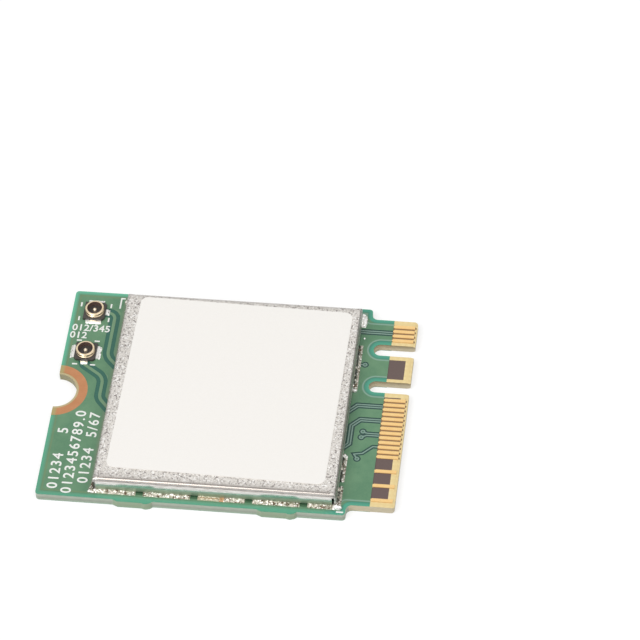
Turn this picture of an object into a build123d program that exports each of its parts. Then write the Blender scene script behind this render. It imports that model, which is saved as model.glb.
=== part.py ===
from build123d import *
import os

# Laptop wireless card: a 22 x 30 mm board with a gold card edge, a soldered shield can over the radio
# parts, two coaxial antenna ports and a half-round screw notch.
# X runs from the screw end (-X) to the card edge (+X), Y along the width, Z up from the underside.

# Board outline
card_length = 30.0
card_width = 22.0
tongue_length = 4.0
shoulder_step = 1.075
shoulder_radius = 0.5
corner_radius = 0.3
tongue_corner_radius = 0.25
copper_corner_radius = 0.1
notch_radius = 1.75
key_slot_width = 1.2
key_slot_depth = 3.5
edge_bevel_length = 0.25
edge_bevel_height = 0.1

# Remains of the two tabs that held the board in its panel
tab_length = 3.4
tab_height = 0.2
tab_slope = 0.45
tab_nub_radius = 0.6
tab_nub_height = 0.08
tab_spacing = 12.1
tab_shift = -0.75

# Layers of the board, the same on both faces
laminate_thickness = 0.72
foil_thickness = 0.04
mask_film = 0.02
ink_thickness = 0.015
copper_pullback = 0.38
slot_pullback = 0.4

# Card edge contacts, numbered by pin: odd on the top face, even on the underside
contact_margin = 0.675
pin_spacing = 0.25
contact_width = 0.35
contact_end_gap = 0.2
contact_point = 0.12
mask_end_gap = 2.05
key_slot_pins = [(8, 15), (24, 31)]
top_pins = [*range(1, 8, 2), *range(33, 58, 2), *range(63, 76, 6)]
bottom_pins = [*range(2, 7, 2), *range(16, 23, 2), *range(32, 75, 2)]

# Copper ring round the screw notch
ring_inner_radius = 1.95
ring_width = 0.75

# Antenna feed lines and signal traces, seen as relief under the mask
feed_width = 0.27
feed_gap = 0.34
trace_width = 0.12
trace_spacing = 0.1
trace_gap = 0.13
via_pad_radius = 0.2
via_gap = 0.12

# Shield can, folded from one sheet, placed by its distance from the board's edges
can_end_margin = 4.8
can_front_margin = 0.85
can_back_margin = 0.95
can_height = 1.45
sheet_thickness = 0.15
bend_radius = 0.4
corner_slit = 0.2
foot_relief = 0.1

# Soldered seams along the can's foot. The long sides have evenly spaced gaps between a first and a last seam.
seam_gap_count = 4
seam_gap = 0.62
first_seam_length = 3.6
last_seam_length = 2.4
seam_width = 0.34
left_seam_width = 0.2
seam_height = 0.24
seam_land_margin = 0.04
right_back_gap = 2.0
right_back_seam = 1.1
right_long_seam = 4.95
right_front_seam = 1.95
right_front_gap = 0.55
right_short_seam = 2.75
feed_seam_clearance = 1.0

# Blank label on the can
label_margin_x = 1.0
label_margin_y = 0.9
label_corner_radius = 0.65
label_thickness = 0.06
label_turn = -1.1
label_shift_x = 0.13
label_shift_y = 0.27

# Antenna ports, one in the board's corner and one beside the ring of the screw notch
port_a_from_end = 2.0
port_a_from_side = 2.26
port_b_from_end = 1.9
port_b_from_ring = 1.54
port_base_size = 1.86
port_base_height = 0.24
port_base_chamfer = 0.2
port_floor_height = 0.16
port_ring_outer = 1.62
port_ring_wall = 0.17
port_root_flare = 0.05
port_height = 0.64
port_groove_depth = 0.05
port_groove_height = 0.1
port_lip = 0.05
port_tab_width = 1.36
port_tab_reach = 1.16
port_tab_thickness = 0.12
port_pin_diameter = 0.3
port_pin_height = 0.5
port_pin_chamfer = 0.08
port_tail_width = 0.6
port_tail_reach = 1.14
port_tail_thickness = 0.1
port_tail_clearance = 0.1
port_land_margin = 0.14

# Radio parts under the can
joint_thickness = 0.04
chip_lead_height = 0.06
lead_length = 0.45
lead_width = 0.3
radio_chip_size = 7.0
radio_chip_height = 0.85
radio_chip_shift_x = 0.7
radio_chip_shift_y = -0.15
radio_lead_count = 6
radio_lead_pitch = 1.0
radio_paddle_gap = 0.65
thermal_pad_margin = 1.0
front_end_size = 2.4
front_end_height = 0.6
front_end_paddle_gap = 0.2
small_lead_count = 3
small_lead_pitch = 0.7
front_end_from_left = 3.3
filter_from_left = 1.2
regulator_height = 0.75
regulator_from_right = 2.2
regulator_from_front = 2.2
memory_length = 3.0
memory_width = 2.0
memory_height = 0.6
memory_shift_x = -1.2
front_row_from_wall = 1.9
crystal_length = 2.5
crystal_width = 2.0
crystal_base_height = 0.45
crystal_lid_height = 0.2
crystal_lid_margin = 0.15
crystal_pad_length = 0.7
crystal_pad_width = 0.6
back_row_from_wall = 1.9
inductor_length = 2.5
inductor_width = 2.0
inductor_height = 1.0
inductor_cap = 0.5
inductor_from_right = 1.9
inductor_from_back = 2.0
inductor_spacing = 3.0
filter_length = 1.6
filter_width = 0.8
filter_height = 0.6
filter_cap = 0.3
small_part_length = 1.0
small_part_width = 0.5
small_part_height = 0.5
small_part_cap = 0.25
small_cap_growth = 0.02
resistor_height = 0.35
back_capacitor_count = 4
back_capacitor_spacing = 2.0
side_capacitor_count = 3
side_capacitor_spacing = 1.4
feed_capacitor_count = 2
feed_capacitor_spacing = 1.3
feed_capacitor_from_left = 2.6
front_resistor_count = 3
front_resistor_spacing = 1.2
small_part_clearance = 0.4

# Printed marks
tick_length = 0.45
tick_width = 0.14
tick_from_port = 1.3
tick_from_axis = 0.78
corner_mark_margin = 0.5
corner_mark_leg = 1.2
corner_mark_foot = 0.4
edge_bar_margin = 0.2
edge_bar_length = 0.6

# Heights worked out from the layers
laminate_bottom = foil_thickness
laminate_top = laminate_bottom + laminate_thickness
card_top = laminate_top + foil_thickness
relief = foil_thickness - mask_film
part_seat = card_top + joint_thickness
can_top = card_top + can_height

# Edges and places worked out from the sizes
radio_paddle_size = radio_chip_size - 2 * (lead_length + radio_paddle_gap)
front_end_paddle_size = front_end_size - 2 * (lead_length + front_end_paddle_gap)
ring_outer_radius = ring_inner_radius + ring_width
lead_edge_x = card_length / 2
screw_edge_x = -card_length / 2
shoulder_x = lead_edge_x - tongue_length
mask_end_x = lead_edge_x - mask_end_gap
tongue_width = card_width - 2 * shoulder_step
first_contact_y = tongue_width / 2 - contact_margin
can_left_x = screw_edge_x + can_end_margin
can_right_x = lead_edge_x - can_end_margin
can_front_y = -card_width / 2 + can_front_margin
can_back_y = card_width / 2 - can_back_margin
can_length = can_right_x - can_left_x
can_width = can_back_y - can_front_y
can_center_x = (can_left_x + can_right_x) / 2
can_center_y = (can_front_y + can_back_y) / 2
port_a = (screw_edge_x + port_a_from_end, card_width / 2 - port_a_from_side)
port_b = (screw_edge_x + port_b_from_end, ring_outer_radius + port_b_from_ring)


def pin_y(pin):
    return first_contact_y - pin_spacing * (pin - 1)


def slab(sketch, bottom, height):
    return extrude(Pos(0, 0, bottom) * sketch, height)


def rect(x0, x1, y0, y1):
    return Pos((x0 + x1) / 2, (y0 + y1) / 2) * Rectangle(abs(x1 - x0), abs(y1 - y0))


def block(x, y, bottom, length, width, height):
    return Pos(x, y, bottom + height / 2) * Box(length, width, height)


def group(solids):
    return Compound(children=[solid for shape in solids for solid in shape.solids()])


def union(shapes):
    return Sketch() + [face for shape in shapes for face in shape.faces()]


def corner_vertices(sketch, x, y):
    tiny = 1e-6
    return [v for v in sketch.vertices() if abs(v.X - x) < tiny and abs(abs(v.Y) - y) < tiny]


# Board plan: body and tongue with rounded corners, two key slots and the notch.
# inset gives the same plan drawn in from every edge, as the copper is.
def card_plan(inset=0.0, slot_inset=0.0, notch=notch_radius):
    half_width = card_width / 2 - inset
    half_tongue = tongue_width / 2 - inset
    left = screw_edge_x + inset
    right = lead_edge_x - inset
    shoulder = shoulder_x - inset
    outer_radius = max(corner_radius - inset, copper_corner_radius)
    tip_radius = max(tongue_corner_radius - inset, copper_corner_radius)
    plan = rect(left, shoulder, -half_width, half_width) + rect(left, right, -half_tongue, half_tongue)
    plan = fillet(corner_vertices(plan, shoulder, half_tongue), shoulder_radius + inset)
    plan = fillet(corner_vertices(plan, shoulder, half_width), outer_radius)
    plan = fillet(corner_vertices(plan, left, half_width), outer_radius)
    plan = fillet(corner_vertices(plan, right, half_tongue), tip_radius)
    for first, last in key_slot_pins:
        plan -= key_slot((pin_y(first) + pin_y(last)) / 2, slot_inset)
    return plan - Pos(screw_edge_x, 0) * Circle(notch)


def key_slot(y, inset):
    radius = key_slot_width / 2 + inset
    end_x = lead_edge_x - key_slot_depth + key_slot_width / 2
    return rect(end_x, lead_edge_x + radius, y - radius, y + radius) + Pos(end_x, y) * Circle(radius)


# What is left of a panel tab: a low step with sloped ends and a rounder nub near its right end.
def tab_stub(center_x):
    edge = -card_width / 2
    half = tab_length / 2
    step = make_face(Polyline(
        (center_x - half, edge),
        (center_x - half + tab_slope, edge - tab_height),
        (center_x + half - tab_slope / 2, edge - tab_height),
        (center_x + half, edge),
        close=True))
    nub_x = center_x + half - tab_nub_radius
    nub = Pos(nub_x, edge - tab_height - tab_nub_height + tab_nub_radius) * Circle(tab_nub_radius)
    return step + (nub & rect(nub_x - tab_nub_radius, nub_x + tab_nub_radius, edge - 2 * tab_height, edge))


def tab_stubs():
    return tab_stub(tab_shift - tab_spacing / 2) + tab_stub(tab_shift + tab_spacing / 2)


# Glass-fibre laminate, bevelled on both faces at the edge that enters the socket.
def circuit_board():
    board = slab(card_plan() + tab_stubs(), laminate_bottom, laminate_thickness)
    reach = card_width / 2
    for face_z, side in ((laminate_top, 1), (laminate_bottom, -1)):
        wedge = Plane.XZ * make_face(Polyline(
            (lead_edge_x - edge_bevel_length, face_z),
            (lead_edge_x, face_z - side * edge_bevel_height),
            (lead_edge_x + edge_bevel_length, face_z - side * edge_bevel_height),
            (lead_edge_x + edge_bevel_length, face_z + side * edge_bevel_height),
            (lead_edge_x - edge_bevel_length, face_z + side * edge_bevel_height),
            close=True))
        board -= extrude(wedge, amount=reach, both=True)
    return board


# Copper lines that show in the mask, as lists of corners. The feeds run from the ports down the strip
# beside the can; the signal lines run from the contacts to the can or to a via pad.
feed_from_can = 1.0
line_end = 0.4
feed_x = can_left_x - feed_from_can
feed_a_entry_y = port_b[1] - 1.65
feed_b_entry_y = -2.1
feed_routes = [
    ([port_a, (feed_x, port_a[1]), (feed_x, port_b[1] - 0.25), (can_left_x + line_end, feed_a_entry_y)],
     [0.6, 1.3]),
    ([port_b, (port_b[0], port_b[1] - 1.25), (feed_x, port_b[1] - 2.55),
      (feed_x, feed_b_entry_y + 1.55), (can_left_x + line_end, feed_b_entry_y)],
     [0.55, 1.2, 1.0]),
]


def pair_center_y(first_pin):
    return pin_y(first_pin + 1)


def beside_mask_end(offset_x, y):
    return (mask_end_x - offset_x, y)


pair_a_y = pair_center_y(35)
pair_b_y = pair_center_y(41)
pair_c_y = pair_center_y(47)
pair_d_y = pair_center_y(3)
pair_inner_x = can_right_x - line_end
pair_routes = [
    [(mask_end_x, pair_d_y), (pair_inner_x, pair_d_y)],
    [(mask_end_x, pair_a_y), beside_mask_end(2.15, pair_a_y), (pair_inner_x, pair_a_y - 1.0)],
    [(mask_end_x, pair_b_y), beside_mask_end(1.75, pair_b_y), beside_mask_end(2.43, pair_b_y - 0.68),
     beside_mask_end(2.43, pair_b_y - 2.6), (pair_inner_x, pair_b_y - 3.32)],
    [(mask_end_x, pair_c_y), beside_mask_end(1.05, pair_c_y)],
]
single_y = pin_y(53)
via_places = [
    beside_mask_end(1.4, pair_c_y + 0.26), beside_mask_end(1.48, pair_c_y - 0.34),
    beside_mask_end(1.59, single_y - 1.37), beside_mask_end(2.0, 4.91),
]
pair_half_step = (trace_width + trace_spacing) / 2
single_routes = [
    [beside_mask_end(1.05, pair_c_y + pair_half_step), via_places[0]],
    [beside_mask_end(1.05, pair_c_y - pair_half_step), via_places[1]],
    [(mask_end_x, single_y), beside_mask_end(0.4, single_y), beside_mask_end(1.2, single_y - 0.77),
     beside_mask_end(1.9, single_y - 0.91), via_places[2]],
    [via_places[3], (can_right_x + seam_width, via_places[3][1])],
]


def line_face(points, width, radii=None):
    if radii:
        path = FilletPolyline(*points, radius=radii)
    else:
        path = Polyline(*points)
    return trace(path, line_width=width)


def pair_faces(points):
    middle = Polyline(*points)
    paths = [middle.offset_2d(pair_half_step, side=side, closed=False) for side in (Side.LEFT, Side.RIGHT)]
    return [trace(path, line_width=trace_width) for path in paths]


# The outer copper as the mask shows it, in two parts that don't touch: a pour drawn back from every edge
# and cut by a gap on each side of every line, and the lines with their via pads.
def copper_relief():
    pour = card_plan(copper_pullback, slot_pullback, notch=ring_outer_radius)
    gaps = []
    lines = []
    for points, radii in feed_routes:
        gaps.append(line_face(points, feed_width + 2 * feed_gap, radii))
        lines.append(line_face(points, feed_width, radii))
    for points in pair_routes:
        pair_width = 2 * trace_width + trace_spacing
        gaps.append(line_face(points, pair_width + 2 * trace_gap))
        lines += pair_faces(points)
    for points in single_routes:
        gaps.append(line_face(points, trace_width + 2 * trace_gap))
        lines.append(line_face(points, trace_width))
    for place in via_places:
        gaps.append(Pos(*place) * Circle(via_pad_radius + via_gap))
        lines.append(Pos(*place) * Circle(via_pad_radius))
    for gap in gaps:
        pour -= gap
    pour -= rect(mask_end_x, lead_edge_x, -card_width, card_width)
    largest = pour.faces().sort_by(SortBy.AREA)[-1]
    return [Sketch() + largest, union(lines)]


# Contacts of the card edge: each pad tapers where its line leaves it.
def contact_plan(pin):
    y = pin_y(pin)
    half = contact_width / 2
    tip_x = lead_edge_x - contact_end_gap
    return make_face(Polyline(
        (mask_end_x, y - half + contact_point),
        (mask_end_x + contact_point, y - half),
        (tip_x, y - half),
        (tip_x, y + half),
        (mask_end_x + contact_point, y + half),
        (mask_end_x, y + half - contact_point),
        close=True))


def contacts(pins, bottom):
    lowest_y = contact_margin - tongue_width / 2 - pin_spacing / 2
    return group([slab(contact_plan(pin), bottom, foil_thickness) for pin in pins if pin_y(pin) > lowest_y])


def mounting_ring(bottom):
    ring = Circle(ring_outer_radius) - Circle(ring_inner_radius)
    half = Pos(screw_edge_x, 0) * ring & rect(screw_edge_x, shoulder_x, -ring_outer_radius, ring_outer_radius)
    return slab(half, bottom, foil_thickness)


# Seams of the can's foot as (start, end) along each side.
def long_side_seams():
    run = can_length - first_seam_length - last_seam_length - seam_gap
    pitch = run / (seam_gap_count - 1)
    gap_starts = [can_left_x + first_seam_length + i * pitch for i in range(seam_gap_count)]
    starts = [can_left_x] + [gap + seam_gap for gap in gap_starts]
    return list(zip(starts, gap_starts + [can_right_x]))


def right_side_seams():
    back_end = can_back_y - right_back_seam - right_back_gap
    front_end = can_front_y + right_front_seam + right_front_gap
    return [(can_front_y, can_front_y + right_front_seam), (front_end, front_end + right_short_seam),
            (back_end - right_long_seam, back_end), (can_back_y - right_back_seam, can_back_y)]


def left_side_seams():
    return [(can_front_y, feed_b_entry_y - feed_seam_clearance + 0.3),
            (feed_b_entry_y + feed_seam_clearance + 0.2, feed_a_entry_y - feed_seam_clearance),
            (feed_a_entry_y + feed_seam_clearance, can_back_y)]


def seam_plan():
    inner = 2 * sheet_thickness
    outer = seam_width + seam_land_margin
    left_outer = left_seam_width + seam_land_margin
    pads = []
    for x0, x1 in long_side_seams():
        for face_y, out in ((can_front_y, -1), (can_back_y, 1)):
            pads.append(rect(x0, x1, face_y - out * inner, face_y + out * outer))
    for y0, y1 in right_side_seams():
        pads.append(rect(can_right_x - inner, can_right_x + outer, y0, y1))
    for y0, y1 in left_side_seams():
        pads.append(rect(can_left_x - left_outer, can_left_x + inner, y0, y1))
    for face_x in (can_left_x, can_right_x):
        for face_y in (can_front_y, can_back_y):
            pads.append(Pos(face_x, face_y) * Circle(outer))
    return union(pads)


# A wall and its bend are one section traced at the sheet's thickness, with its foot at the origin, facing -Y.
def can_wall(length):
    middle = sheet_thickness / 2
    path = FilletPolyline(
        (middle, 0), (middle, can_height - middle), (bend_radius + sheet_thickness, can_height - middle),
        radius=bend_radius - middle)
    section = Plane.YZ * trace(path, line_width=sheet_thickness)
    return extrude(section, amount=length / 2, both=True)


# Openings under the foot between the seams, where lines pass and the seams are relieved.
def foot_openings(seams):
    return [(before[1], after[0]) for before, after in zip(seams, seams[1:])]


def shield_can():
    plate = Pos(0, 0, can_height - sheet_thickness / 2) * Box(
        can_length - 2 * bend_radius, can_width - 2 * bend_radius, sheet_thickness)
    long_wall = can_wall(can_length - 2 * sheet_thickness - 2 * corner_slit)
    short_wall = can_wall(can_width)
    can = plate
    for turn in (0, 180):
        can += Rot(0, 0, turn) * Pos(0, -can_width / 2, 0) * long_wall
        can += Rot(0, 0, turn + 90) * Pos(0, -can_length / 2, 0) * short_wall
    can = Pos(can_center_x, can_center_y, card_top) * can
    depth = 2 * bend_radius
    for x0, x1 in foot_openings(long_side_seams()):
        for face_y in (can_front_y, can_back_y):
            can -= block((x0 + x1) / 2, face_y, card_top, x1 - x0, depth, foot_relief)
    for seams, face_x in ((right_side_seams(), can_right_x), (left_side_seams(), can_left_x)):
        for y0, y1 in foot_openings(seams):
            can -= block(face_x, (y0 + y1) / 2, card_top, depth, y1 - y0, foot_relief)
    return can


# Solder fillet: hollow face from the land up the wall, extruded along each seam and turned at corners.
def fillet_section(width):
    dip = 0.36
    return make_face([
        Line((0, 0), (-width, 0)),
        ThreePointArc((-width, 0), (-dip * width, dip * seam_height), (0, seam_height)),
        Line((0, seam_height), (0, 0))])


def seam_fillet(length, width):
    return extrude(Plane.YZ * fillet_section(width), amount=length / 2, both=True)


def corner_fillet():
    return revolve(Plane.XZ * fillet_section(seam_width), Axis.Z, 90)


def shield_solder():
    sides = []
    for x0, x1 in long_side_seams():
        for face_y, turn in ((can_front_y, 0), (can_back_y, 180)):
            sides.append(((x0 + x1) / 2, face_y, turn, x1 - x0, seam_width))
    for y0, y1 in right_side_seams():
        sides.append((can_right_x, (y0 + y1) / 2, 90, y1 - y0, seam_width))
    for y0, y1 in left_side_seams():
        sides.append((can_left_x, (y0 + y1) / 2, 270, y1 - y0, left_seam_width))
    corners = [(can_left_x, can_front_y, 0), (can_right_x, can_front_y, 90),
               (can_right_x, can_back_y, 180), (can_left_x, can_back_y, 270)]
    pieces = [Pos(x, y, card_top) * Rot(0, 0, turn) * seam_fillet(length, width)
              for x, y, turn, length, width in sides]
    pieces += [Pos(x, y, card_top) * Rot(0, 0, turn) * corner_fillet() for x, y, turn in corners]
    return group([pieces[0].fuse(*pieces[1:])])


def label():
    plan = RectangleRounded(
        can_length - 2 * label_margin_x, can_width - 2 * label_margin_y, label_corner_radius)
    place = Pos(can_center_x + label_shift_x, can_center_y + label_shift_y)
    return slab(place * Rot(0, 0, label_turn) * plan, can_top, label_thickness)


# Antenna port, in its own frame: signal tail towards +X, ground tabs towards +Y and -Y, foot at z = 0.
def port_shell():
    outer = port_ring_outer / 2
    inner = outer - port_ring_wall
    groove_bottom = port_base_height + port_lip
    groove_top = groove_bottom + port_groove_height
    groove_middle = (groove_bottom + groove_top) / 2
    section = make_face(Polyline(
        (inner, 0), (outer + port_root_flare, 0), (outer, groove_bottom),
        (outer - port_groove_depth, groove_middle), (outer, groove_top),
        (outer, port_height - port_lip), (outer - port_lip, port_height), (inner, port_height), close=True))
    ring = revolve(Plane.XZ * section, Axis.Z)
    middle = (inner + port_tab_reach) / 2
    for side in (-1, 1):
        ring += block(0, side * middle, 0, port_tab_width, port_tab_reach - inner, port_tab_thickness)
    ring -= Cylinder(inner, 2 * port_height)
    window_height = port_tail_thickness + port_tail_clearance
    window_width = port_tail_width + 2 * port_tail_clearance
    return ring - block(port_tab_reach, 0, 0, 2 * (port_tab_reach - inner / 2), window_width, window_height)


def port_pin():
    post = Pos(0, 0, port_pin_height / 2) * Cylinder(port_pin_diameter / 2, port_pin_height)
    post = chamfer(post.faces().sort_by(Axis.Z)[-1].edges(), port_pin_chamfer)
    tail = block(port_tail_reach / 2, 0, 0, port_tail_reach, port_tail_width, port_tail_thickness)
    return post + tail


def port_base():
    half = port_base_size / 2
    plan = Rectangle(port_base_size, port_base_size)
    plan = chamfer(corner_vertices(plan, half, half), port_base_chamfer)
    base = slab(plan, 0, port_base_height)
    bore = port_ring_outer / 2 - port_ring_wall
    base -= Pos(0, 0, port_floor_height + port_base_height / 2) * Cylinder(bore, port_base_height)
    return base - port_shell() - port_pin()


def port_land_plans():
    tab_inner = port_ring_outer / 2
    tab_outer = port_tab_reach + port_land_margin
    half_tab = port_tab_width / 2
    tail_half = port_tail_width / 2
    plans = [rect(-half_tab, half_tab, side * tab_inner, side * tab_outer) for side in (-1, 1)]
    plans.append(rect(tab_inner, port_tail_reach + port_land_margin, -tail_half, tail_half))
    return plans


def port_fillets():
    tail_half = port_tail_width / 2
    half_tab = port_tab_width / 2
    fillets = []
    runs = [(port_tab_reach, half_tab, 90, port_tab_thickness),
            (port_tab_reach, half_tab, -90, port_tab_thickness),
            (port_tail_reach, tail_half, 0, port_tail_thickness)]
    for reach, half, turn, height in runs:
        wedge = Plane.XZ * make_face(Polyline(
            (reach, 0), (reach + port_land_margin, 0), (reach, height), close=True))
        fillets.append(Rot(0, 0, turn) * extrude(wedge, amount=half, both=True))
    return fillets


port_frames = {
    "a": Pos(port_a[0], port_a[1], card_top),
    "b": Pos(port_b[0], port_b[1], card_top) * Rot(0, 0, -90),
}
port_plans = {
    "a": Pos(port_a[0], port_a[1]),
    "b": Pos(port_b[0], port_b[1]) * Rot(0, 0, -90),
}


# Leadless chips: flat terminals in rows along the sides and a centre paddle, with the moulded body above.
# A terminal is (x, y, length, width) in its part's own frame.
def side_rows(size_x, size_y, count, pitch, all_sides):
    steps = [(i - (count - 1) / 2) * pitch for i in range(count)]
    edge_x = (size_x - lead_length) / 2
    edge_y = (size_y - lead_length) / 2
    rows = [[(side * edge_x, step, lead_length, lead_width) for step in steps] for side in (-1, 1)]
    if all_sides:
        rows += [[(step, side * edge_y, lead_width, lead_length) for step in steps] for side in (-1, 1)]
    return rows


def paddle_row(size):
    return [[(0, 0, size, size)]]


radio_rows = side_rows(radio_chip_size, radio_chip_size, radio_lead_count, radio_lead_pitch, True)
radio_rows += paddle_row(radio_paddle_size)
small_chip_rows = side_rows(front_end_size, front_end_size, small_lead_count, small_lead_pitch, False)
small_chip_rows += paddle_row(front_end_paddle_size)
memory_rows = side_rows(memory_length, memory_width, small_lead_count, small_lead_pitch, False)
crystal_corner_x = (crystal_length - crystal_pad_length) / 2
crystal_corner_y = (crystal_width - crystal_pad_width) / 2
crystal_rows = [[(i * crystal_corner_x, j * crystal_corner_y, crystal_pad_length, crystal_pad_width)
                 for i in (-1, 1) for j in (-1, 1)]]


def end_rows(length, width, cap, turned):
    reach = (length - cap) / 2
    if turned:
        return [[(0, side * reach, width, cap) for side in (-1, 1)]]
    return [[(side * reach, 0, cap, width) for side in (-1, 1)]]


# Places under the can: the feed parts keep to its left wall, the power parts to its right wall,
# and the small parts line up beside the chips.
radio_chip_place = (can_center_x + radio_chip_shift_x, can_center_y + radio_chip_shift_y)
front_end_x = can_left_x + front_end_from_left
front_end_a_place = (front_end_x, feed_a_entry_y)
front_end_b_place = (front_end_x, feed_b_entry_y)
regulator_place = (can_right_x - regulator_from_right, can_front_y + regulator_from_front)
front_row_y = can_front_y + front_row_from_wall
memory_place = (can_center_x + memory_shift_x, front_row_y)
crystal_place = (radio_chip_place[0], can_back_y - back_row_from_wall)
inductor_x = can_right_x - inductor_from_right


def row_of_spots(start, step_x, step_y, count, turned):
    return [(start[0] + i * step_x, start[1] + i * step_y, turned) for i in range(count)]


inductor_spots = row_of_spots(
    (inductor_x, can_back_y - inductor_from_back - inductor_spacing), 0, inductor_spacing, 2, False)
filter_spots = [(can_left_x + filter_from_left, y, True) for y in (feed_a_entry_y, feed_b_entry_y)]
beside_chip = small_part_length / 2 + small_part_clearance
back_row_y = radio_chip_place[1] + radio_chip_size / 2 + beside_chip
back_row_x = radio_chip_place[0] - back_capacitor_spacing * (back_capacitor_count - 1) / 2
side_row_y = radio_chip_place[1] - radio_chip_size / 2 + beside_chip
feed_row_x = can_left_x + feed_capacitor_from_left
feed_row_offset = front_end_size / 2 + beside_chip
capacitor_spots = (
    row_of_spots((back_row_x, back_row_y), back_capacitor_spacing, 0, back_capacitor_count, True)
    + row_of_spots((inductor_x, side_row_y), 0, side_capacitor_spacing, side_capacitor_count, False)
    + row_of_spots((feed_row_x, feed_a_entry_y + feed_row_offset), feed_capacitor_spacing, 0,
                   feed_capacitor_count, True)
    + row_of_spots((feed_row_x, feed_b_entry_y - feed_row_offset), feed_capacitor_spacing, 0,
                   feed_capacitor_count, True))
front_row_x = memory_place[0] + memory_length / 2 + beside_chip
resistor_spots = row_of_spots(
    (front_row_x, front_row_y), front_resistor_spacing, 0, front_resistor_count, True)


def two_ended_sets(spots, length, width, cap):
    return [((x, y), end_rows(length, width, cap, turned)) for x, y, turned in spots]


# Soldered terminals by kind of part: place of the part, then its rows of terminals.
radio_set = [(radio_chip_place, radio_rows)]
small_chip_sets = [
    (front_end_a_place, small_chip_rows), (front_end_b_place, small_chip_rows),
    (regulator_place, small_chip_rows), (memory_place, memory_rows), (crystal_place, crystal_rows),
]
inductor_sets = two_ended_sets(inductor_spots, inductor_length, inductor_width, inductor_cap)
filter_sets = two_ended_sets(filter_spots, filter_length, filter_width, filter_cap)
capacitor_sets = two_ended_sets(capacitor_spots, small_part_length, small_part_width, small_part_cap)
resistor_sets = two_ended_sets(resistor_spots, small_part_length, small_part_width, small_part_cap)
soldered_groups = {
    "radio_chip": radio_set,
    "small_chip": small_chip_sets,
    "two_ended_part": inductor_sets + filter_sets + capacitor_sets + resistor_sets,
}


def terminal_blocks(sets, bottom, height):
    return group([block(place[0] + x, place[1] + y, bottom, length, width, height)
                  for place, rows in sets for row in rows for x, y, length, width in row])


# Each row of terminals shares one window in the mask.
def land_windows():
    windows = []
    for sets in soldered_groups.values():
        for place, rows in sets:
            windows += [Pos(*place) * row_window(row) for row in rows]
    return windows


def row_window(row):
    low_x = min(x - length / 2 for x, y, length, width in row)
    high_x = max(x + length / 2 for x, y, length, width in row)
    low_y = min(y - width / 2 for x, y, length, width in row)
    high_y = max(y + width / 2 for x, y, length, width in row)
    return rect(low_x, high_x, low_y, high_y)


def chip_leads(sets):
    return terminal_blocks(sets, part_seat, chip_lead_height)


def chip_body(place, size_x, size_y, height):
    bottom = part_seat + chip_lead_height
    return block(place[0], place[1], bottom, size_x, size_y, height - chip_lead_height)


def two_ended_bodies(spots, length, width, height, cap):
    middle = length - 2 * cap
    thin = width - 2 * small_cap_growth
    bottom = part_seat + small_cap_growth
    depth = height - 2 * small_cap_growth
    return group([block(x, y, bottom, *((thin, middle) if turned else (middle, thin)), depth)
                  for x, y, turned in spots])


def crystal_lid():
    x, y = crystal_place
    margin = 2 * crystal_lid_margin
    lid_bottom = part_seat + crystal_base_height
    lid = block(x, y, lid_bottom, crystal_length - margin, crystal_width - margin, crystal_lid_height)
    return fillet(lid.edges().filter_by(Axis.Z), crystal_lid_margin)


def thermal_pad():
    bottom = part_seat + radio_chip_height
    height = can_top - sheet_thickness - bottom
    size = radio_chip_size - 2 * thermal_pad_margin
    return block(*radio_chip_place, bottom, size, size, height)


# Ink: a corner mark beside the can, a bar at the can's front corner and ticks that frame each port.
def printed_marks():
    marks = []
    for frame in port_plans.values():
        for side in (-1, 1):
            for end in (-1, 1):
                tick = Pos(end * tick_from_port, side * tick_from_axis) * Rectangle(tick_width, tick_length)
                marks.append(slab(frame * tick, card_top, ink_thickness))
    right = can_left_x - seam_width - seam_land_margin
    top = card_width / 2 - corner_mark_margin
    leg = rect(right - corner_mark_foot, right - corner_mark_foot + tick_width, top - corner_mark_leg, top)
    foot = rect(right - corner_mark_foot, right, top - tick_width, top)
    marks.append(slab(leg + foot, card_top, ink_thickness))
    bar_y = edge_bar_margin - card_width / 2
    bar_x = can_right_x + seam_width
    bar = rect(bar_x - edge_bar_length / 2, bar_x + edge_bar_length / 2, bar_y, bar_y + tick_width)
    marks.append(slab(bar, card_top - relief, ink_thickness))
    return group(marks)


# Solder mask: a film over the laminate. On top it stands higher where it rides over copper lines and pour;
# the underside is one unbroken film over its pour.
def mask_outline():
    mask_area = rect(screw_edge_x, mask_end_x, -card_width, card_width)
    return union([(card_plan(notch=ring_outer_radius) + tab_stubs()) & mask_area])


def solder_mask_top():
    windows = top_windows()
    mask = slab(mask_outline() - windows, laminate_top, mask_film)
    for sheet in copper_relief():
        mask += slab(sheet - windows, laminate_top + mask_film, relief)
    return mask


def solder_mask_bottom():
    return slab(mask_outline(), 0, foil_thickness)


def top_windows():
    ports = [frame * plan for frame in port_plans.values() for plan in port_land_plans()]
    return union([seam_plan()] + land_windows() + ports)


def port_lands():
    return group([slab(frame * plan, laminate_top, foil_thickness)
                  for frame in port_plans.values() for plan in port_land_plans()])


def write(name, shape):
    shape.label = name
    export_step(shape, os.path.join("parts", name + ".step"))


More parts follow.
